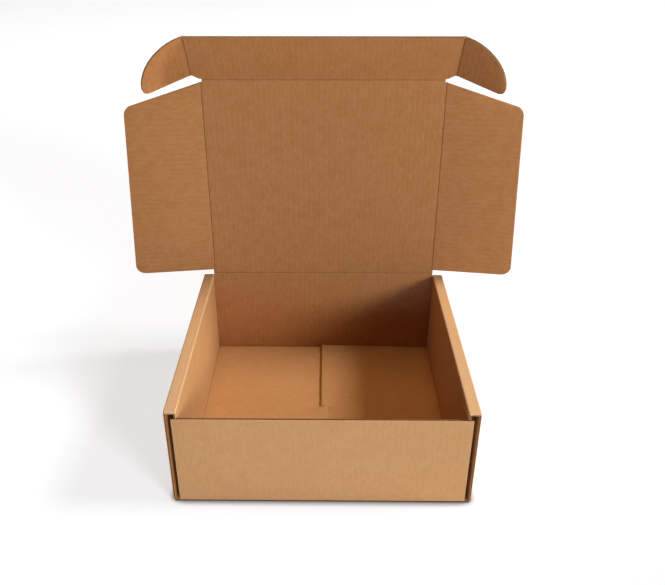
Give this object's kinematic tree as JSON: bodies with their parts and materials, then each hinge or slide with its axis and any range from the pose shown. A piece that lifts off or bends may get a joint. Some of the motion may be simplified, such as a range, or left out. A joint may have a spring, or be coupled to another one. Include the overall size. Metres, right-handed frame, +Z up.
{
  "type": "folding box",
  "caption": "Open corrugated board box: a tray with rolled-over side walls and a hinged lid with side wings, a tuck flap and rounded ears.",
  "frame": {"origin": "middle of the tray's bottom face, on the surface that the box stands on", "axes": "+Z up, +Y to the back where the lid is hinged, +X to the right as seen from the front"},
  "size_m": [0.4912, 0.263, 0.4479],
  "materials": {
    "kraft_board": "uncoated brown kraft liner on corrugated board, matt, with faint flute lines"
  },
  "bodies": {
    "tray": {"tray": "kraft_board"},
    "lid": {"lid": "kraft_board"},
    "left_wing": {"left_wing": "kraft_board"},
    "right_wing": {"right_wing": "kraft_board"},
    "tuck_flap": {"tuck_flap": "kraft_board"},
    "left_ear": {"left_ear": "kraft_board"},
    "right_ear": {"right_ear": "kraft_board"}
  },
  "joints": [
    {"name": "lid_hinge", "type": "hinge", "parent": "tray", "child": "lid", "pos_m": [0, 0.13, 0.1273], "axis": [1, 0, 0], "range_deg": [-90, 90]},
    {"name": "left_wing_fold", "type": "hinge", "parent": "lid", "child": "left_wing", "pos_m": [-0.1443, 0.13, 0.1273], "axis": [0, 0, 1], "range_deg": [-7, 83]},
    {"name": "right_wing_fold", "type": "hinge", "parent": "lid", "child": "right_wing", "pos_m": [0.1443, 0.13, 0.1273], "axis": [0, 0, -1], "range_deg": [-7, 83]},
    {"name": "tuck_fold", "type": "hinge", "parent": "lid", "child": "tuck_flap", "pos_m": [0, 0.13, 0.3906], "axis": [1, 0, 0], "range_deg": [-31, 59]},
    {"name": "left_ear_fold", "type": "hinge", "parent": "tuck_flap", "child": "left_ear", "pos_m": [-0.1545, 0.13, 0.3906], "axis": [0, -0.515, 0.8572], "range_deg": [-35, 55]},
    {"name": "right_ear_fold", "type": "hinge", "parent": "tuck_flap", "child": "right_ear", "pos_m": [0.1545, 0.13, 0.3906], "axis": [0, 0.515, -0.8572], "range_deg": [-35, 55]}
  ]
}
